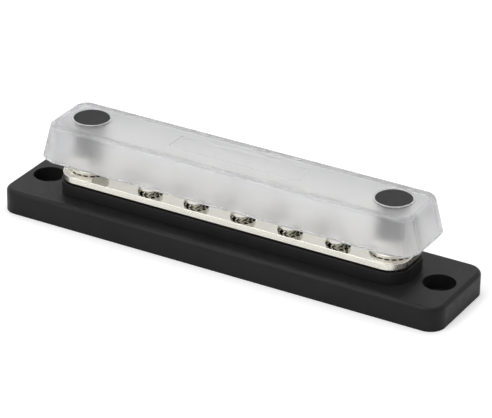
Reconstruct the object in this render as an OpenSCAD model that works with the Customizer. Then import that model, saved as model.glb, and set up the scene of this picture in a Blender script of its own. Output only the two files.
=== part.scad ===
// Busbar with a lift-off cover: a moulded base carries a plated bar with two rows of terminal screws,
// and the cover is pushed onto the two feed studs. X runs along the bar, and Z = 0 is the mounting face.

/* [Base] */
// Width of the mounting flange
base_w = 35; // [31:0.5:45]
// Thickness of the mounting flange
base_h = 8.4; // [7.5:0.1:14]
// Radius of the flange's upright corners
base_corner_r = 5.5; // [3:0.5:8]
// Rounding of the flange's top edge
base_edge_r = 1.6; // [0.4:0.1:2.4]
// Distance from a mounting hole to the end of the flange
base_end = 8.4; // [7.6:0.1:14]
// Height of the pedestal above the flange
pedestal_h = 4.4; // [3:0.1:10]
// How far the pedestal stands out past the bar
pedestal_lip = 0.5; // [0.2:0.1:1.2]
// Rounding of the pedestal's top edge
pedestal_edge_r = 0.3; // [0.1:0.05:0.6]
// Height of the pad that holds the bar clear of the pedestal
seat_h = 0.6; // [0.3:0.1:1.2]
// How far the pad stays back from the bar's edge
seat_inset = 1; // [0.5:0.1:2]

/* [Mounting holes] */
// Distance from a stud to the mounting hole beyond it
mount_offset = 17.3; // [16.5:0.1:26]
// Diameter of the mounting screw's hole
mount_hole_d = 5.5; // [4:0.1:6.5]
// Diameter of the recess for the mounting screw's head
mount_recess_d = 11; // [8:0.1:12]
// Depth of the recess for the mounting screw's head
mount_recess_depth = 5; // [3:0.1:6]

/* [Bar] */
// Width of the bar
bar_w = 21; // [19:0.5:24]
// Thickness of the bar
bar_t = 2.3; // [1.5:0.1:4]
// Radius of the bar's corners
bar_corner_r = 7; // [3:0.5:9]
// Rounding of the bar's top and bottom edges
bar_edge_r = 0.2; // [0.1:0.05:0.5]
// Distance from a stud to the end of the bar
bar_end = 8.1; // [7.8:0.1:11]

/* [Studs and nuts] */
// Diameter of the studs
stud_d = 6.35; // [5:0.05:7]
// Distance from the last terminal screw to the stud, along the bar
stud_offset = 17; // [13:0.1:24]
// Width across the flats of the studs' heads
stud_head_af = 11.1; // [9:0.1:12]
// Height of the studs' heads
stud_head_h = 4; // [3:0.1:5]
// Chamfer on the end of the studs
stud_chamfer = 0.7; // [0.3:0.1:1]
// Width across the flats of the nuts
nut_af = 11.1; // [9:0.1:12]
// Height of the nuts
nut_h = 6; // [4.5:0.1:7]
// Diameter of the nuts' flange
flange_d = 15.1; // [13.5:0.1:16]
// Thickness of the flange's rim
flange_rim = 1.1; // [0.8:0.1:1.4]
// Diameter of the nuts' seat on the bar
nut_seat_d = 13; // [11.5:0.1:13.4]
// Height of the relief between the bar and the flange's rim
flange_relief = 0.3; // [0.1:0.05:0.5]

/* [Terminal screws] */
// Number of terminal screws
terminal_count = 10; // [2:2:14]
// Step from one terminal screw to the next, along the bar
terminal_pitch = 8.85; // [7.5:0.05:14]
// Distance of each row of screws from the middle of the bar
row_offset = 4.55; // [3.5:0.05:5.5]
// Diameter of the screws
screw_d = 4.17; // [3:0.01:4.8]
// Length of the screws below the head
screw_l = 10; // [6:0.1:12]
// Diameter of the screws' heads
head_d = 8.2; // [6:0.1:8.6]
// Height of the screws' heads
head_h = 2.6; // [2:0.1:3.4]
// Rounding of the screws' heads
head_round = 1.3; // [0.6:0.1:1.8]
// Width across the wings of the cross recess
recess_d = 4.4; // [3:0.1:5]
// Width of one wing of the cross recess
recess_wing = 1.1; // [0.7:0.1:1.4]
// Depth of the cross recess
recess_depth = 1.7; // [1:0.1:1.9]
// Diameter of the lock washers
washer_d = 8.6; // [6.5:0.1:9]
// Height of the lock washers over their teeth
washer_t = 1.2; // [0.3:0.05:1.6]
// Number of teeth on a lock washer
washer_teeth = 14; // [8:1:20]
// Depth of the gaps between the teeth
tooth_depth = 1; // [0.5:0.1:1.2]
// Width of the gaps between the teeth
tooth_gap = 0.6; // [0.3:0.1:0.8]

/* [Cover] */
// Width of the cover at its rim
cover_w = 28.4; // [24:0.1:32]
// Distance from a stud to the end of the cover's rim
cover_end = 13.9; // [12:0.1:18]
// Height of the cover
cover_h = 12.7; // [10:0.1:20]
// Height of the cable gap between the bar and the cover's rim
cable_gap = 5.3; // [4:0.1:9]
// How far each wall leans in from rim to top
cover_lean = 3; // [1:0.1:3.2]
// Radius of the cover's upright corners at the top
cover_corner_r = 4.5; // [3.4:0.1:6]
// Rounding of the cover's top edge
cover_edge_r = 1.8; // [0.6:0.1:2.2]
// Chamfer under the outside of the cover's rim
rim_chamfer = 0.5; // [0.2:0.1:0.8]
// Rounding inside the cover's top edge
cover_inner_r = 0.6; // [0.3:0.1:0.7]
// Thickness of the cover's walls
cover_wall = 2; // [1.6:0.1:2.3]
// Length of the label panel on the cover
label_l = 48.8; // [20:0.1:80]
// Width of the label panel on the cover
label_w = 9.1; // [5:0.1:12]
// Depth of the label panel
label_depth = 0.3; // [0.1:0.05:0.6]
// Radius of the label panel's corners
label_corner_r = 0.8; // [0.4:0.1:2]

/* [Caps] */
// Diameter of a cap's head
cap_d = 12.2; // [11:0.1:13]
// Thickness of a cap's head
cap_head_t = 1.4; // [1.2:0.1:1.6]
// Rounding of a cap's head
cap_edge_r = 0.25; // [0.1:0.05:0.4]
// Diameter of a cap's neck, in the cover's hole
cap_neck_d = 8.4; // [7.8:0.1:8.6]
// Diameter of a cap's sleeve, below the cover's top
cap_sleeve_d = 9.3; // [9:0.1:10]
// Solid depth of a cap above the end of its stud
cap_crown = 4.6; // [3.5:0.1:6]
// Width of the raised rim round a cap
collar_w = 0.65; // [0.4:0.05:1]
// Height of the raised rim round a cap
collar_h = 0.45; // [0.2:0.05:0.6]

/* [Fits] */
// Gap round a thread that turns, or a sleeve that slides
running_gap = 0.06; // [0.02:0.01:0.1]
// Gap round a stud in the base and the bar, and round its head
stud_gap = 0.2; // [0.1:0.05:0.3]
// Gap round a terminal screw in the base, and below its end
screw_gap = 0.5; // [0.3:0.1:0.8]
// Gap between a lock washer and its screw
washer_gap = 0.1; // [0.05:0.01:0.2]
// Gap between a cap and the cover, below the cap on its nut, and over the end of its stud
cap_gap = 0.1; // [0.05:0.01:0.2]

/* [Hidden] */
$fn = 64;
hex_sides = 6;
// Length by which a cut runs past the face that it opens
overrun = 1;
// Angle at which a rounded edge meets the faces beside it
edge_crease = 9;

// Places along the bar
terminal_x = [for (i = [0 : terminal_count - 1]) (i - (terminal_count - 1) / 2) * terminal_pitch];
stud_x = terminal_x[terminal_count - 1] + stud_offset;
mount_x = stud_x + mount_offset;

// Heights
pedestal_top = base_h + pedestal_h;
bar_seat = pedestal_top + seat_h;
bar_top = bar_seat + bar_t;
nut_top = bar_top + nut_h;
head_seat = bar_top + washer_t;
screw_tip = head_seat - screw_l;
rim_z = bar_top + cable_gap;
cover_top = rim_z + cover_h;
cap_top = cover_top + collar_h;
cap_seat = cap_top - cap_head_t;
ceiling_z = cover_top - cover_wall;
stud_top = cap_top - cap_crown;

// Lengths
base_l = 2 * (mount_x + base_end);
bar_l = 2 * (stud_x + bar_end);
pedestal_l = bar_l + 2 * pedestal_lip;
pedestal_w = bar_w + 2 * pedestal_lip;
pedestal_r = bar_corner_r + pedestal_lip;
cover_l = 2 * (stud_x + cover_end);

SIDES = ["left", "right"];

function side_x(side) = side == "left" ? -stud_x : stud_x;
// Terminal screws alternate between the back row and the front row.
function terminal_y(i) = i % 2 == 1 ? row_offset : -row_offset;
function hex_d(af) = af / cos(180 / hex_sides);

// Section of a wall from the middle of a round corner outwards, `r` wide at its foot. The wall leans in
// by `lean` over its height, to a rounded top edge, and its foot may have a chamfer.
module wall_section(r, h, lean, edge_r, chamfer = 0) {
    slope = atan(lean / h);
    inset = edge_r * cos(edge_crease);
    centre = [r - lean - inset * tan((90 - slope) / 2), h - inset];
    reach = 2 * edge_r;
    difference() {
        polygon(concat(
            chamfer > 0 ? [[0, 0], [r - chamfer, 0], [r - chamfer * lean / h, chamfer]] : [[0, 0], [r, 0]],
            [[r - lean, h], [0, h]]
        ));
        translate(centre) difference() {
            polygon([[0, 0], reach * [cos(slope), sin(slope)], [reach, reach], [0, reach]]);
            circle(edge_r);
        }
    }
}

// Block on Z = 0 with its section, given as a child, swept round its four sides and upright corners.
module sweep_round(l, w, h, corner_r) {
    a = l / 2 - corner_r;
    b = w / 2 - corner_r;
    for (x = [0, 1], y = [0, 1]) mirror([x, 0, 0]) mirror([0, y, 0]) {
        cube([a, b, h]);
        translate([0, b, 0]) rotate([90, 0, 90]) linear_extrude(a) children();
        translate([a, b, 0]) rotate([90, 0, 0]) linear_extrude(b) children();
        translate([a, b, 0]) rotate_extrude(angle = 90) children();
    }
}

// Slab on Z = 0 with round upright corners, walls that lean in and a rounded top edge.
module slab(l, w, h, corner_r, lean, edge_r, chamfer = 0) {
    sweep_round(l, w, h, corner_r) wall_section(corner_r, h, lean, edge_r, chamfer);
}

// Plate on Z = 0 with round corners and square edges.
module plate(l, w, h, corner_r) {
    linear_extrude(h) {
        square([l - 2 * corner_r, w], center = true);
        square([l, w - 2 * corner_r], center = true);
        for (x = [-1, 1], y = [-1, 1])
            translate([x * (l / 2 - corner_r), y * (w / 2 - corner_r)]) circle(corner_r);
    }
}

module hex(af, h) {
    cylinder(h, d = hex_d(af), $fn = hex_sides);
}

module at_studs() {
    for (side = SIDES) translate([side_x(side), 0, 0]) children();
}

module at_terminals() {
    for (i = [1 : terminal_count]) translate([terminal_x[i - 1], terminal_y(i), 0]) children();
}

// Moulded base: mounting flange, pedestal and the bar's pad, with the holes that the hardware needs.
module base() {
    hole_bottom = screw_tip - screw_gap;
    color("#2b2b2c") difference() {
        union() {
            slab(base_l, base_w, base_h, base_corner_r, 0, base_edge_r);
            slab(pedestal_l, pedestal_w, pedestal_top, pedestal_r, 0, pedestal_edge_r);
            plate(bar_l - 2 * seat_inset, bar_w - 2 * seat_inset, bar_seat, bar_corner_r - seat_inset);
        }
        for (x = [-mount_x, mount_x]) translate([x, 0, 0]) {
            translate([0, 0, -overrun]) cylinder(base_h + 2 * overrun, d = mount_hole_d);
            translate([0, 0, base_h - mount_recess_depth])
                cylinder(mount_recess_depth + overrun, d = mount_recess_d);
        }
        at_studs() {
            translate([0, 0, -overrun]) cylinder(bar_seat + 2 * overrun, d = stud_d + 2 * stud_gap);
            translate([0, 0, -overrun]) hex(stud_head_af + 2 * stud_gap, stud_head_h + stud_gap + overrun);
        }
        at_terminals() translate([0, 0, hole_bottom])
            cylinder(bar_seat - hole_bottom + overrun, d = screw_d + 2 * screw_gap);
    }
}

// Plated conductor bar, tapped for the terminal screws and drilled for the studs.
module bar() {
    color("#d8d6cc") translate([0, 0, bar_seat + bar_t / 2]) difference() {
        for (turned = [0, 1]) mirror([0, 0, turned])
            slab(bar_l, bar_w, bar_t / 2, bar_corner_r, 0, bar_edge_r);
        at_studs() cylinder(bar_t + overrun, d = stud_d + 2 * stud_gap, center = true);
        at_terminals() cylinder(bar_t + overrun, d = screw_d + 2 * running_gap, center = true);
    }
}

// Stud bolt: a hexagon head held under the base and a shank that stands up through the bar.
module stud() {
    color("#b9b9b7") {
        translate([0, 0, stud_gap]) hex(stud_head_af, stud_head_h);
        translate([0, 0, stud_gap]) cylinder(stud_top - stud_chamfer - stud_gap, d = stud_d);
        translate([0, 0, stud_top - stud_chamfer])
            cylinder(stud_chamfer, d1 = stud_d, d2 = stud_d - 2 * stud_chamfer);
    }
}

// Hexagon flange nut, seated on the bar.
module nut() {
    corner = hex_d(nut_af) / 2;
    flat = nut_af / 2;
    chamfer = corner - flat;
    color("#c6c5c0") translate([0, 0, bar_top]) difference() {
        union() {
            cylinder(flange_relief, d1 = nut_seat_d, d2 = flange_d);
            translate([0, 0, flange_relief]) cylinder(flange_rim - flange_relief, d = flange_d);
            translate([0, 0, flange_rim]) cylinder(flange_rim, d1 = flange_d, d2 = nut_af);
            intersection() {
                hex(nut_af, nut_h);
                union() {
                    cylinder(nut_h - chamfer, r = corner + chamfer);
                    translate([0, 0, nut_h - chamfer]) cylinder(chamfer, corner, flat);
                }
            }
        }
        translate([0, 0, -overrun]) cylinder(nut_h + 2 * overrun, d = stud_d + 2 * running_gap);
    }
}

// Pan-head terminal screw with a cross recess. Its seat is at Z = 0 and its shank points down.
module screw() {
    module recess() {
        intersection() {
            union() {
                cube([recess_d, recess_wing, 2 * recess_depth], center = true);
                cube([recess_wing, recess_d, 2 * recess_depth], center = true);
            }
            translate([0, 0, -recess_depth])
                cylinder(2 * recess_depth, d1 = recess_wing, d2 = 2 * recess_d - recess_wing);
        }
    }
    color("#c9c8c2") {
        difference() {
            rotate_extrude() {
                square([head_d / 2 - head_round, head_h]);
                square([head_d / 2, head_h - head_round]);
                translate([head_d / 2 - head_round, head_h - head_round]) intersection() {
                    circle(head_round);
                    square(head_round);
                }
            }
            translate([0, 0, head_h]) recess();
        }
        translate([0, 0, -screw_l]) cylinder(screw_l, d = screw_d);
    }
}

// Flat lock washer with teeth round its edge, on Z = 0.
module lock_washer() {
    color("#a9a8a2") difference() {
        cylinder(washer_t, d = washer_d);
        translate([0, 0, -overrun]) cylinder(washer_t + 2 * overrun, d = screw_d + 2 * washer_gap);
        for (i = [0 : washer_teeth - 1]) rotate(i * 360 / washer_teeth)
            translate([washer_d / 2 - tooth_depth, -tooth_gap / 2, -overrun])
                cube([tooth_depth + overrun, tooth_gap, washer_t + 2 * overrun]);
    }
}

// Frosted cover: a drafted shell, open below, with a seat for each cap and a shallow label panel.
module cover() {
    inside_h = cover_h - cover_wall;
    side_wall = cover_wall / cos(atan(cover_lean / cover_h));
    inside_lean = cover_lean * inside_h / cover_h;
    rim_r = cover_corner_r + cover_lean;
    color("#d5d8da", 0.6) translate([0, 0, rim_z]) difference() {
        union() {
            slab(cover_l, cover_w, cover_h, rim_r, cover_lean, cover_edge_r, rim_chamfer);
            at_studs() translate([0, 0, ceiling_z - rim_z])
                cylinder(cap_top - ceiling_z, d = cap_d + 2 * cap_gap + 2 * collar_w);
        }
        slab(cover_l - 2 * side_wall, cover_w - 2 * side_wall, inside_h, rim_r - side_wall,
             inside_lean, cover_inner_r);
        at_studs() {
            translate([0, 0, cap_seat - rim_z])
                cylinder(cap_head_t + overrun, d = cap_d + 2 * cap_gap);
            translate([0, 0, inside_h - overrun])
                cylinder(cover_wall + 2 * overrun, d = cap_neck_d + 2 * cap_gap);
        }
        translate([0, 0, cover_h - label_depth])
            plate(label_l, label_w, label_depth + overrun, label_corner_r);
    }
}

// Push-on cap: a head in the cover's seat, a neck through its top and a sleeve down the stud to the nut.
module cap() {
    sleeve_bottom = nut_top + cap_gap;
    sleeve_top = ceiling_z - cap_gap;
    color("#3d3d3d") difference() {
        union() {
            translate([0, 0, cap_seat]) rotate_extrude() wall_section(cap_d / 2, cap_head_t, 0, cap_edge_r);
            translate([0, 0, sleeve_bottom]) cylinder(cap_seat - sleeve_bottom, d = cap_neck_d);
            translate([0, 0, sleeve_bottom]) cylinder(sleeve_top - sleeve_bottom, d = cap_sleeve_d);
        }
        translate([0, 0, sleeve_bottom - overrun])
            cylinder(stud_top + cap_gap - sleeve_bottom + overrun, d = stud_d + 2 * running_gap);
    }
}

base();
bar();
cover();
for (side = SIDES) translate([side_x(side), 0, 0]) {
    stud();
    nut();
    cap();
}
for (i = [1 : terminal_count]) translate([terminal_x[i - 1], terminal_y(i), 0]) {
    translate([0, 0, head_seat]) screw();
    translate([0, 0, bar_top]) lock_washer();
}
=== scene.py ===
import math

import bmesh
import bpy
from mathutils import Matrix, Vector


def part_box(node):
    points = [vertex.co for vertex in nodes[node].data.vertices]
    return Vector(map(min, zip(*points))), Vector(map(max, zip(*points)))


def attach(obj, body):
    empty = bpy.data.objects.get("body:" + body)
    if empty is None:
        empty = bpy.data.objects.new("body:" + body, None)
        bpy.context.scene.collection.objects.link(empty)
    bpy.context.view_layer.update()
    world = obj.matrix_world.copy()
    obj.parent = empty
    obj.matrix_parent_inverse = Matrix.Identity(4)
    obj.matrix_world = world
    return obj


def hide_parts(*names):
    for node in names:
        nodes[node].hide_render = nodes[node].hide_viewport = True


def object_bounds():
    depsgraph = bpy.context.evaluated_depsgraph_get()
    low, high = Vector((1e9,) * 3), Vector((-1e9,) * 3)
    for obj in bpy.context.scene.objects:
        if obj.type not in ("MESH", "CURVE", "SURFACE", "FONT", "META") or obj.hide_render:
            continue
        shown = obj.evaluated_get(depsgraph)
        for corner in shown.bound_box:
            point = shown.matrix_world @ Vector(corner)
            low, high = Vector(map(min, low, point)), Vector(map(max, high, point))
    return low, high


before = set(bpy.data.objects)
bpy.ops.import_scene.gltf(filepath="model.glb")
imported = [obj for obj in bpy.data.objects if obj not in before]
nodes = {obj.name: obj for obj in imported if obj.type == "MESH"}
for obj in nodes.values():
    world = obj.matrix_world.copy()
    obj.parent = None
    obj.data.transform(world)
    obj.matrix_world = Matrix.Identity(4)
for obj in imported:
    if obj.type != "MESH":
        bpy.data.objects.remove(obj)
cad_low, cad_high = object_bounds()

MM = 0.001
SIDES = ("left", "right")
scene = bpy.context.scene

# The photograph's view, on an image of 492 x 418: angles in degrees, shift in the image plane, lens
VIEW_AZIMUTH, VIEW_ELEVATION, VIEW_ROLL = 29.439, 27.140, 0.931
VIEW_SHIFT, VIEW_DISTANCE = (-2.71 * MM, -13.25 * MM), 994.4 * MM
IMAGE_WIDTH, FOCAL_PIXELS = 492, 3003.45
SENSOR_WIDTH, NEAREST, FURTHEST = 36.0, 0.01, 20.0

# Terminal screws: shank, thread, end and head
SCREW_R, SCREW_PITCH, SCREW_THREAD_DEPTH, SCREW_POINT = 2.085 * MM, 25.4 / 32 * MM, 0.44 * MM, 0.45 * MM
HEAD_ROUND, HEAD_FOOT_CHAMFER, SHANK_IN_HEAD = 1.3 * MM, 0.12 * MM, 0.2 * MM
# Cross recess from its lip down: reach and half width of a wing, rounding of its corners, depth
RECESS = (
    (2.20 * MM, 0.55 * MM, 0.14 * MM, 0.00 * MM),
    (2.12 * MM, 0.49 * MM, 0.14 * MM, 0.09 * MM),
    (1.35 * MM, 0.40 * MM, 0.12 * MM, 1.35 * MM),
    (0.62 * MM, 0.34 * MM, 0.10 * MM, 1.70 * MM),
)
# How far a wing's end bulges, and how far its inner corners stand out, as shares of the rounding
WING_BULGE, WING_CORNER = 0.4, 0.3

# Lock washers: radii, sheet and teeth
WASHER_INNER_R, WASHER_ROOT_R, WASHER_OUTER_R, WASHER_SHEET = 2.185 * MM, 3.3 * MM, 4.3 * MM, 0.4 * MM
WASHER_TEETH, TOOTH_GAP, TOOTH_ROOT_OVERLAP, TOOTH_TIP_CHAMFER = 14, 0.6 * MM, 0.25 * MM, 0.08 * MM
# A tooth from its root to its tip: radius, share of the twist and share of the width
TOOTH_SECTIONS = (
    (WASHER_ROOT_R - TOOTH_ROOT_OVERLAP, 0.0, 0.9),
    (WASHER_ROOT_R + TOOTH_ROOT_OVERLAP, 0.7, 1.0),
    (WASHER_OUTER_R - TOOTH_TIP_CHAMFER, 1.0, 1.08),
    (WASHER_OUTER_R, 1.0, 1.02),
)

# Stud bolts: shank, thread, end and hexagon head
STUD_R, STUD_PITCH, STUD_THREAD_DEPTH, STUD_POINT = 3.175 * MM, 1.27 * MM, 0.74 * MM, 0.7 * MM
STUD_HEAD_FLAT, STUD_HEAD_HEIGHT, HEX_FACE_SHARE, HEX_CHAMFER = 5.55 * MM, 4 * MM, 0.97, 30.0
HEX_STEP = math.pi / 3

# Saw teeth in the gap under the nuts' flanges: radii, gap to the bar, height up to the flange, part inside it
NUT_TEETH, NUT_TEETH_INNER_R, NUT_TEETH_OUTER_R = 20, 6.4 * MM, 7.4 * MM
NUT_TEETH_LIFT, NUT_TEETH_HEIGHT, NUT_TEETH_ROOT = 0.03 * MM, 0.29 * MM, 0.1 * MM
# Shares of the teeth's pitch at which a tooth starts to come down, is down, starts to go up and is up
NUT_TOOTH_STEPS = (0.0, 0.2, 0.44, 0.46)

# Thread along one pitch, from a crest to the next: share of the pitch, and share of the depth
THREAD_PROFILE = ((0.0, 0.0), (0.14, 0.0), (0.5, 1.0), (0.62, 1.0))

# Fineness of the meshes: steps round a thread, a circle and a quarter circle, least angle of a sharp edge in
# degrees, and distance at which two points are one
THREAD_STEPS, ROUND_STEPS, ARC_STEPS = 48, 72, 10
SHARP_ANGLE, SAME_POINT = 32.0, 0.0001 * MM

# Noise in the finishes: the values that it mostly lies between, levels of detail, strength of finer levels
NOISE_LOW, NOISE_HIGH = 0.3, 0.7
NOISE_DETAIL, SHADE_DETAIL = 3.0, 4.0
NOISE_ROUGH, GRAIN_ROUGH = 0.5, 0.6

# Moulded plastic: sizes of its changes of shade and of gloss, strength and depth of its grain, reflection
PLASTIC_SHADE, PLASTIC_GLOSS = 14 * MM, 2.4 * MM
GRAIN_STRENGTH, GRAIN_DEPTH, PLASTIC_SPECULAR = 0.12, 0.03 * MM, 0.14

# Plated metal: size of its changes of tint, strength and depth of its lines, run of an unbroken turned line
METAL_SHADE, LINE_RELIEF, LINE_DEPTH, LINE_BREAK = 6 * MM, 0.12, 0.012 * MM, 1.1 * MM
# Turned lines: spacing of a wave texture's rings at a scale of 1, and how they waver
WAVE_SPACING, WAVE_BEND, WAVE_DETAIL, WAVE_DETAIL_SCALE = math.pi / 10, 1.5, 2.0, 3.0
# Z of the normal up to which a face counts as upright, and from which it counts as level
UPRIGHT_TO_LEVEL = (0.8, 1.0)

# Frosted plastic: refraction, share of the light that it lets through, size of its changes of shade
COVER_IOR, COVER_CLEAR, COVER_SHADE = 1.45, 0.84, 18 * MM
# Its clouds of more and less gloss, and its fine frost
CLOUD_SIZE, CLOUD_ROUGH = 3.3 * MM, 0.012
FROST_SIZE, FROST_STRENGTH, FROST_DEPTH = 0.25 * MM, 0.06, 0.02 * MM
# Cover's wall, for its finish: thickness, lean per height, and height of the rims round the caps
COVER_WALL, COVER_LEAN, COLLAR_HEIGHT = 2 * MM, 3 / 12.7, 0.45 * MM
# Painted shade on the rounding along the long edges of its top: share of the colour that is left, and where
# the shade fades out, in from the wall and down from the top
PAINTED_EDGE_SHADE, PAINTED_SHADE_INSET, PAINTED_SHADE_DROP = 0.78, (0.7 * MM, 2.6 * MM), (0.7 * MM, 1.1 * MM)

# Floor: half its size, drop below the object, colours, and glow for the camera and in reflections
FLOOR_SIZE, FLOOR_DROP = 3.0, 0.02 * MM
FLOOR_GRAIN, FLOOR_DARK, FLOOR_LIGHT = 25 * MM, (0.80, 0.80, 0.80), (0.82, 0.82, 0.82)
FLOOR_GLOW_CAMERA, FLOOR_GLOW_MIRRORED = 0.34, 0.05

# Sky: its strength as a light, for the camera, and in reflections from its left to its right side
SKY_COLOUR, SKY_LIGHT, SKY_CAMERA = (1, 1, 1, 1), 0.55, 1.0
SKY_LEFT, SKY_RIGHT, SKY_FADE = 0.92, 0.65, (-0.5, 0.5)

# Lamps: name, place, size and power
LAMP_AIM = Vector((0, 0, 15 * MM))
LAMPS = (
    ("key", Vector((-0.35, -0.75, 0.95)), 0.7, 4.2),
    ("top", Vector((-0.1, 0.3, 1.1)), 0.9, 5.2),
)


def make_camera():
    """Camera at the photograph's viewing angle."""
    azimuth, elevation, roll = (math.radians(a) for a in (VIEW_AZIMUTH, VIEW_ELEVATION, VIEW_ROLL))
    back = Vector((math.sin(azimuth) * math.cos(elevation), -math.cos(azimuth) * math.cos(elevation),
                   math.sin(elevation)))
    level = Vector((math.cos(azimuth), math.sin(azimuth), 0))
    upright = back.cross(level)
    right = math.cos(roll) * level + math.sin(roll) * upright
    up = -math.sin(roll) * level + math.cos(roll) * upright
    eye = back * VIEW_DISTANCE - right * VIEW_SHIFT[0] - up * VIEW_SHIFT[1]
    data = bpy.data.cameras.new("camera")
    data.sensor_width = SENSOR_WIDTH
    data.lens = FOCAL_PIXELS * SENSOR_WIDTH / IMAGE_WIDTH
    data.clip_start, data.clip_end = NEAREST, FURTHEST
    camera = bpy.data.objects.new("camera", data)
    turn = Matrix((right, up, back)).transposed()
    camera.matrix_world = Matrix.Translation(eye) @ turn.to_4x4()
    scene.collection.objects.link(camera)
    scene.camera = camera


class Tree:
    """A node tree, with short calls that add nodes and link them. Lengths are in metres."""

    def __init__(self, tree):
        self.tree = tree
        tree.nodes.clear()

    def feed(self, socket, value):
        if isinstance(value, bpy.types.NodeSocket):
            self.tree.links.new(value, socket)
        else:
            socket.default_value = value

    def add(self, kind, inputs=None, **settings):
        made = self.tree.nodes.new("ShaderNode" + kind)
        for name, value in settings.items():
            setattr(made, name, value)
        for name, value in (inputs or {}).items():
            self.feed(made.inputs[name], value)
        return made

    def coords(self):
        return self.add("TexCoord").outputs["Object"]

    def noise(self, size, detail=NOISE_DETAIL, rough=NOISE_ROUGH):
        """Noise with features of one size, or of a size along each axis."""
        at, scale = self.coords(), 1.0
        if isinstance(size, tuple):
            at = self.add("Mapping", {"Vector": at, "Scale": [1 / s for s in size]}).outputs[0]
        else:
            scale = 1 / size
        made = self.add("TexNoise", {"Vector": at, "Scale": scale, "Detail": detail, "Roughness": rough})
        return made.outputs["Fac"]

    def spread(self, value, low, high, start=NOISE_LOW, end=NOISE_HIGH):
        """Maps start..end to low..high."""
        return self.add("MapRange", {"Value": value, "From Min": start, "From Max": end,
                                     "To Min": low, "To Max": high}).outputs[0]

    def tint(self, value, dark, light):
        """Maps noise to colours between a dark and a light one."""
        made = self.add("ValToRGB", {"Fac": value})
        for stop, place, colour in zip(made.color_ramp.elements, (NOISE_LOW, NOISE_HIGH), (dark, light)):
            stop.position, stop.color = place, (*colour, 1)
        return made.outputs[0]

    def math(self, operation, *values):
        made = self.add("Math", operation=operation)
        for socket, value in zip(made.inputs, values):
            self.feed(socket, value)
        return made.outputs[0]

    def bump(self, height, strength, depth):
        return self.add("Bump", {"Height": height, "Strength": strength, "Distance": depth}).outputs[0]

    def rays(self):
        """Two values: 1 for rays from the camera, and 1 for rays from a reflection or a clear part."""
        path = self.add("LightPath").outputs
        from_surface = self.math("MAXIMUM", path["Is Glossy Ray"], path["Is Transmission Ray"])
        return path["Is Camera Ray"], from_surface

    def surface(self, shader, output="OutputMaterial"):
        self.feed(self.add(output).inputs["Surface"], shader)


def material(name):
    made = bpy.data.materials.new(name)
    made.use_nodes = True
    return made, Tree(made.node_tree)


def moulded_plastic(name, dark, light, rough, grain):
    """Moulded plastic with a fine satin grain and slow changes of shade and gloss."""
    made, t = material(name)
    t.surface(t.add("BsdfPrincipled", {
        "Base Color": t.tint(t.noise(PLASTIC_SHADE, SHADE_DETAIL, GRAIN_ROUGH), dark, light),
        "Roughness": t.spread(t.noise(PLASTIC_GLOSS), *rough),
        "Specular IOR Level": PLASTIC_SPECULAR,
        "Normal": t.bump(t.noise(grain, rough=GRAIN_ROUGH), GRAIN_STRENGTH, GRAIN_DEPTH),
    }).outputs[0])
    return made


def plated_metal(name, dark, light, rough, along=None, rings=None, relief=LINE_RELIEF, side_rough=0.0):
    """Bright plated metal with soft changes of tint and fine lines. The lines lie along a rolling direction,
    given by their size along each axis, or round the Z axis, given by their spacing. Upright faces can be
    rougher."""
    made, t = material(name)
    if along:
        lines = t.noise(along, rough=GRAIN_ROUGH)
    else:
        wave = t.add("TexWave", {"Vector": t.coords(), "Scale": WAVE_SPACING / rings, "Distortion": WAVE_BEND,
                                 "Detail": WAVE_DETAIL, "Detail Scale": WAVE_DETAIL_SCALE},
                     wave_type="RINGS", rings_direction="Z")
        lines = t.math("MULTIPLY", wave.outputs["Fac"], t.noise(LINE_BREAK))
    roughness = t.spread(lines, *rough)
    if side_rough:
        normal = t.add("TexCoord").outputs["Normal"]
        level = t.math("ABSOLUTE", t.add("SeparateXYZ", {"Vector": normal}).outputs["Z"])
        roughness = t.math("ADD", roughness, t.spread(level, side_rough, 0.0, *UPRIGHT_TO_LEVEL))
    t.surface(t.add("BsdfPrincipled", {
        "Base Color": t.tint(t.noise(METAL_SHADE, SHADE_DETAIL, GRAIN_ROUGH), dark, light),
        "Metallic": 1.0,
        "Roughness": roughness,
        "Normal": t.bump(lines, relief, LINE_DEPTH),
    }).outputs[0])
    return made


def frosted_plastic(name, dark, light, rough_inside, rough_outside):
    """The cover's translucent plastic, frosted more inside than outside, so that what is behind it blurs."""
    made, t = material(name)
    low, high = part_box("cover")
    half_wall = COVER_WALL / 2
    x, y, z = t.add("SeparateXYZ", {"Vector": t.coords()}).outputs
    # How far a point lies outside the middle of a wall or of the top
    past_end = t.math("SUBTRACT", t.math("ABSOLUTE", x), high.x - half_wall)
    past_side = t.math("SUBTRACT", t.math("ABSOLUTE", y), high.y - half_wall)
    drawn_in = t.math("MULTIPLY", t.math("SUBTRACT", z, low.z), COVER_LEAN)
    past_wall = t.math("ADD", t.math("MAXIMUM", past_end, past_side), drawn_in)
    past_top = t.math("SUBTRACT", z, high.z - COLLAR_HEIGHT - half_wall)
    outside = t.math("GREATER_THAN", t.math("MAXIMUM", past_wall, past_top), 0.0)
    inset = t.math("SUBTRACT", half_wall, t.math("ADD", past_side, drawn_in))
    drop = t.math("SUBTRACT", half_wall, past_top)
    # Painted shade: the colour is darkened on the rounding along the long edges of the top
    painted_shade = t.math("MULTIPLY", t.spread(inset, 1.0, 0.0, *PAINTED_SHADE_INSET), t.spread(drop, 1.0, 0.0, *PAINTED_SHADE_DROP))
    colour = t.add("VectorMath", {0: t.tint(t.noise(COVER_SHADE), dark, light),
                                  "Scale": t.spread(painted_shade, 1.0, PAINTED_EDGE_SHADE, 0.0, 1.0)}, operation="SCALE")
    cloud = t.spread(t.noise(CLOUD_SIZE), 0.0, CLOUD_ROUGH)
    t.surface(t.add("BsdfPrincipled", {
        "Base Color": colour.outputs[0],
        "Roughness": t.math("ADD", cloud, t.spread(outside, rough_inside, rough_outside, 0.0, 1.0)),
        "IOR": COVER_IOR,
        "Transmission Weight": COVER_CLEAR,
        "Normal": t.bump(t.noise(FROST_SIZE, rough=GRAIN_ROUGH), FROST_STRENGTH, FROST_DEPTH),
    }).outputs[0])
    return made


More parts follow.
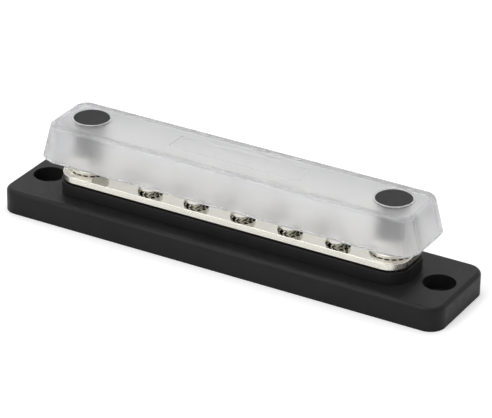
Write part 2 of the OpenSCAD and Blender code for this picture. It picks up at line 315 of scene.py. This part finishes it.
def polar(r, angle):
    return r * math.cos(angle), r * math.sin(angle)


def turns(steps):
    """Angles that divide a full turn into equal steps."""
    return [2 * math.pi * i / steps for i in range(steps)]


def circle(r):
    return [polar(r, angle) for angle in turns(ROUND_STEPS)]


def ring(bm, outline, z):
    return [bm.verts.new((x, y, z)) for x, y in outline]


def bridge(bm, below, above):
    """Joins two rings of the same length, counter-clockwise from above, with a wall."""
    for i in range(len(below)):
        j = (i + 1) % len(below)
        bm.faces.new((below[i], below[j], above[j], above[i]))


def mesh_of(bm, name):
    """Turns a finished bmesh into a mesh, with its faces outward."""
    bmesh.ops.recalc_face_normals(bm, faces=bm.faces[:])
    mesh = bpy.data.meshes.new(name)
    bm.to_mesh(mesh)
    bm.free()
    return mesh


def add_thread(bm, radius, depth, pitch, low, high, point_low=0.0, point_high=0.0):
    """Adds a right-handed thread between two heights, closed at both ends, with a chamfer at either end."""
    part = bmesh.new()
    rows = []
    # One turn more at each end, which the cuts take off. Heights are half a step back, so that no point lies
    # in the plane of a cut.
    for k in range((math.ceil((high - low) / pitch) + 2) * THREAD_STEPS + 1):
        row = []
        for share, inward in THREAD_PROFILE:
            z = low - pitch + pitch * ((k - 0.5) / THREAD_STEPS + share)
            r = radius - max(depth * inward, point_low - (z - low), point_high - (high - z))
            row.append(part.verts.new((*polar(r, 2 * math.pi * k / THREAD_STEPS), z)))
        rows.append(row)
    for k in range(len(rows) - 1):
        here, after = rows[k], rows[k + 1]
        if k + 1 + THREAD_STEPS < len(rows):
            here, after = here + rows[k + THREAD_STEPS][:1], after + rows[k + 1 + THREAD_STEPS][:1]
        for m in range(len(here) - 1):
            part.faces.new((here[m], after[m], after[m + 1], here[m + 1]))
    for z, way in ((low, -1), (high, 1)):
        bmesh.ops.bisect_plane(part, geom=part.verts[:] + part.edges[:] + part.faces[:], plane_co=(0, 0, z),
                               plane_no=(0, 0, way), clear_outer=True)
    bmesh.ops.remove_doubles(part, verts=part.verts[:], dist=SAME_POINT)
    bmesh.ops.holes_fill(part, edges=[e for e in part.edges if e.is_boundary])
    made = mesh_of(part, "thread")
    bm.from_mesh(made)
    bpy.data.meshes.remove(made)


def cross(reach, wing, soft):
    """Outline of a cross recess, with rounded ends and corners."""
    tip, corner = reach + WING_BULGE * soft, wing + WING_CORNER * soft
    quarters = [[(reach, soft - wing), (tip, 0), (reach, wing - soft),
                 (reach - soft, wing), (wing + soft, wing), (corner, corner)]]
    for _ in range(3):
        quarters.append([(-y, x) for x, y in quarters[-1]])
    return [point for quarter in quarters for point in quarter]


def screw_mesh(head_r, head_h, length):
    """Pan-head screw with a cross recess and a rolled thread, its seat at z = 0."""
    bm = bmesh.new()
    outline = [(head_r - HEAD_FOOT_CHAMFER, 0), (head_r, HEAD_FOOT_CHAMFER)]
    for i in range(ARC_STEPS + 1):
        x, z = polar(HEAD_ROUND, math.pi / 2 * i / ARC_STEPS)
        outline.append((head_r - HEAD_ROUND + x, head_h - HEAD_ROUND + z))
    head = [ring(bm, circle(r), z) for r, z in outline]
    recess = [ring(bm, cross(reach, wing, soft), head_h - depth) for reach, wing, soft, depth in RECESS]
    for rings in (head, recess):
        for below, above in zip(rings, rings[1:]):
            bridge(bm, below, above)
    bm.faces.new(head[0])
    bm.faces.new(recess[-1])
    edges = [bm.edges.get((loop[i - 1], loop[i])) for loop in (head[-1], recess[0]) for i in range(len(loop))]
    bmesh.ops.triangle_fill(bm, use_beauty=True, edges=edges)
    add_thread(bm, SCREW_R, SCREW_THREAD_DEPTH, SCREW_PITCH, -length, SHANK_IN_HEAD, point_low=SCREW_POINT)
    return mesh_of(bm, "terminal_screw")


def washer_mesh(height):
    """Lock washer on z = 0: a flat ring, and teeth that are twisted about their own length."""
    bm = bmesh.new()
    low, high = (height - WASHER_SHEET) / 2, (height + WASHER_SHEET) / 2
    section = ((WASHER_INNER_R, low), (WASHER_ROOT_R, low), (WASHER_ROOT_R, high), (WASHER_INNER_R, high))
    rings = [ring(bm, circle(r), z) for r, z in section]
    for i in range(len(rings)):
        bridge(bm, rings[i - 1], rings[i])
    half = math.pi * WASHER_ROOT_R / WASHER_TEETH - TOOTH_GAP / 2
    for k in range(WASHER_TEETH):
        # Half a tooth on, so that a gap lies on the X axis
        turn = Matrix.Rotation(2 * math.pi * (k + 0.5) / WASHER_TEETH, 3, "Z")
        sections = []
        for r, twist, width in TOOTH_SECTIONS:
            w, lift = half * width, low * twist
            corners = ((r, -w, low - lift), (r, w, low + lift), (r, w, high + lift), (r, -w, high - lift))
            sections.append([bm.verts.new(turn @ Vector(c)) for c in corners])
        for inner, outer in zip(sections, sections[1:]):
            bridge(bm, inner, outer)
        bm.faces.new(sections[0])
        bm.faces.new(sections[-1])
    return mesh_of(bm, "tooth_washer")


def nut_teeth_mesh():
    """Ring of saw teeth with their tips on z = 0: between the teeth it lies inside the nut's flange."""
    bm = bmesh.new()
    high = NUT_TEETH_HEIGHT + NUT_TEETH_ROOT
    lows = (NUT_TEETH_HEIGHT, 0, 0, NUT_TEETH_HEIGHT)
    rows = []
    for tooth in range(NUT_TEETH):
        for share, low in zip(NUT_TOOTH_STEPS, lows):
            angle = 2 * math.pi * (tooth + share) / NUT_TEETH
            section = ((NUT_TEETH_INNER_R, low), (NUT_TEETH_OUTER_R, low),
                       (NUT_TEETH_OUTER_R, high), (NUT_TEETH_INNER_R, high))
            rows.append([bm.verts.new((*polar(r, angle), z)) for r, z in section])
    for i in range(len(rows)):
        bridge(bm, rows[i - 1], rows[i])
    return mesh_of(bm, "nut_teeth")


def stud_mesh(length):
    """Stud bolt on z = 0: a hexagon head with its corners turned down below, and a threaded shank."""
    bm = bmesh.new()
    face_r = STUD_HEAD_FLAT * HEX_FACE_SHARE
    angles = turns(ROUND_STEPS)
    reach = [STUD_HEAD_FLAT / math.cos((a + HEX_STEP / 2) % HEX_STEP - HEX_STEP / 2) for a in angles]
    slope = math.tan(math.radians(HEX_CHAMFER))
    hexagon = [polar(r, a) for r, a in zip(reach, angles)]
    face = ring(bm, circle(face_r), 0)
    edge = [bm.verts.new((x, y, slope * (r - face_r))) for (x, y), r in zip(hexagon, reach)]
    top = ring(bm, hexagon, STUD_HEAD_HEIGHT)
    bridge(bm, face, edge)
    bridge(bm, edge, top)
    bm.faces.new(face)
    bm.faces.new(top)
    add_thread(bm, STUD_R, STUD_THREAD_DEPTH, STUD_PITCH, STUD_HEAD_HEIGHT - SHANK_IN_HEAD, length,
               point_high=STUD_POINT)
    return mesh_of(bm, "stud_bolt")


def finish_mesh(mesh, finish):
    """Gives a new mesh its finish, smooth apart from its sharp edges."""
    mesh.materials.append(finish)
    mesh.shade_smooth()
    mesh.set_sharp_from_angle(angle=math.radians(SHARP_ANGLE))
    return mesh


def piece(name, mesh, node, body, lift=0.0, replaces=True):
    """Puts a mesh on a CAD node's own axis, with its foot at the node's foot or lifted from it."""
    low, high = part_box(node)
    foot = min(v.co.z for v in mesh.vertices)
    made = bpy.data.objects.new(name, mesh)
    made.location = ((low.x + high.x) / 2, (low.y + high.y) / 2, low.z + lift - foot)
    scene.collection.objects.link(made)
    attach(made, body)
    if replaces:
        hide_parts(node)


def dress(node, finish):
    """Gives a CAD node its finish."""
    slots = nodes[node].data.materials
    slots.clear()
    slots.append(finish)


def make_floor():
    """Pale matt floor that keeps the object's shadow, with a glow for the camera and in reflections."""
    bm = bmesh.new()
    bmesh.ops.create_grid(bm, x_segments=1, y_segments=1, size=FLOOR_SIZE)
    bmesh.ops.translate(bm, verts=bm.verts, vec=(0, 0, cad_low[2] - FLOOR_DROP))
    floor = bpy.data.objects.new("floor", mesh_of(bm, "floor"))
    scene.collection.objects.link(floor)
    paper, t = material("floor")
    matt = t.add("BsdfDiffuse", {"Color": t.tint(t.noise(FLOOR_GRAIN), FLOOR_DARK, FLOOR_LIGHT)})
    from_camera, from_surface = t.rays()
    seen = t.math("MULTIPLY", from_camera, FLOOR_GLOW_CAMERA)
    mirrored = t.math("MULTIPLY", from_surface, FLOOR_GLOW_MIRRORED)
    glow = t.add("Emission", {"Strength": t.math("ADD", seen, mirrored)})
    both = t.add("AddShader")
    for socket, part in zip(both.inputs, (matt, glow)):
        t.feed(socket, part.outputs[0])
    t.surface(both.outputs[0])
    floor.data.materials.append(paper)


def make_sky():
    """White sky for the camera, which fades from left to right in reflections and lights the rest evenly."""
    scene.world = bpy.data.worlds.new("sky")
    scene.world.use_nodes = True
    t = Tree(scene.world.node_tree)
    from_camera, from_surface = t.rays()
    across = t.add("SeparateXYZ", {"Vector": t.add("TexCoord").outputs["Generated"]}).outputs["X"]
    light = t.spread(t.math("MAXIMUM", from_camera, from_surface), SKY_LIGHT, 0.0, 0.0, 1.0)
    seen = t.math("MULTIPLY", from_camera, SKY_CAMERA)
    mirrored = t.math("MULTIPLY", from_surface, t.spread(across, SKY_LEFT, SKY_RIGHT, *SKY_FADE))
    strength = t.math("ADD", light, t.math("ADD", seen, mirrored))
    t.surface(t.add("Background", {"Color": SKY_COLOUR, "Strength": strength}).outputs[0], "OutputWorld")


def make_lamps():
    for name, place, size, power in LAMPS:
        data = bpy.data.lights.new(name, "AREA")
        data.shape, data.size, data.energy = "SQUARE", size, power
        lamp = bpy.data.objects.new(name, data)
        aim = (LAMP_AIM - place).to_track_quat("-Z", "Y")
        lamp.matrix_world = Matrix.Translation(place) @ aim.to_matrix().to_4x4()
        scene.collection.objects.link(lamp)


make_camera()
make_floor()
make_sky()
make_lamps()
scene.view_settings.view_transform = "Standard"

dress("base", moulded_plastic(
    "base_plastic", dark=(0.0150, 0.0150, 0.0152), light=(0.0206, 0.0206, 0.0209), rough=(0.32, 0.42),
    grain=0.35 * MM))
dress("bar", plated_metal(
    "bar_plating", dark=(0.89, 0.86, 0.77), light=(0.94, 0.92, 0.84), rough=(0.05, 0.12),
    along=(17 * MM, 0.38 * MM, 0.38 * MM), relief=0.03, side_rough=0.18))
dress("cover", frosted_plastic(
    "cover_frosted", dark=(0.953, 0.955, 0.966), light=(0.973, 0.975, 0.985), rough_inside=0.65,
    rough_outside=0.21))
cap_finish = moulded_plastic(
    "cap_plastic", dark=(0.026, 0.026, 0.026), light=(0.033, 0.033, 0.033), rough=(0.55, 0.65),
    grain=0.22 * MM)
nut_finish = plated_metal(
    "nut_plating", dark=(0.72, 0.70, 0.65), light=(0.84, 0.82, 0.77), rough=(0.05, 0.14),
    along=(1.1 * MM, 1.1 * MM, 8 * MM))
screw_finish = plated_metal(
    "screw_plating", dark=(0.72, 0.70, 0.64), light=(0.86, 0.84, 0.78), rough=(0.12, 0.24), rings=0.75 * MM)
stud_finish = plated_metal(
    "stud_steel", dark=(0.58, 0.57, 0.55), light=(0.70, 0.69, 0.67), rough=(0.22, 0.34), rings=1.05 * MM)
washer_finish = plated_metal(
    "washer_steel", dark=(0.62, 0.60, 0.55), light=(0.76, 0.74, 0.69), rough=(0.08, 0.16), rings=0.9 * MM)

stud_low, stud_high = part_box("stud_left")
stud = finish_mesh(stud_mesh(stud_high.z - stud_low.z), stud_finish)
nut_teeth = finish_mesh(nut_teeth_mesh(), nut_finish)
for side in SIDES:
    dress("cap_" + side, cap_finish)
    dress("nut_" + side, nut_finish)
    piece("stud_bolt_" + side, stud, "stud_" + side, "base")
    piece("nut_teeth_" + side, nut_teeth, "nut_" + side, "nut_" + side, NUT_TEETH_LIFT,
          replaces=False)

screw_low, screw_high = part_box("screw_1")
washer_low, washer_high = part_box("lock_washer_1")
screw = finish_mesh(screw_mesh((screw_high.x - screw_low.x) / 2, screw_high.z - washer_high.z,
                               washer_high.z - screw_low.z), screw_finish)
washer = finish_mesh(washer_mesh(washer_high.z - washer_low.z), washer_finish)
terminals = sum(name.startswith("screw_") for name in nodes)
for i in range(1, terminals + 1):
    piece(f"terminal_screw_{i}", screw, f"screw_{i}", f"screw_{i}")
    piece(f"tooth_washer_{i}", washer, f"lock_washer_{i}", f"lock_washer_{i}")
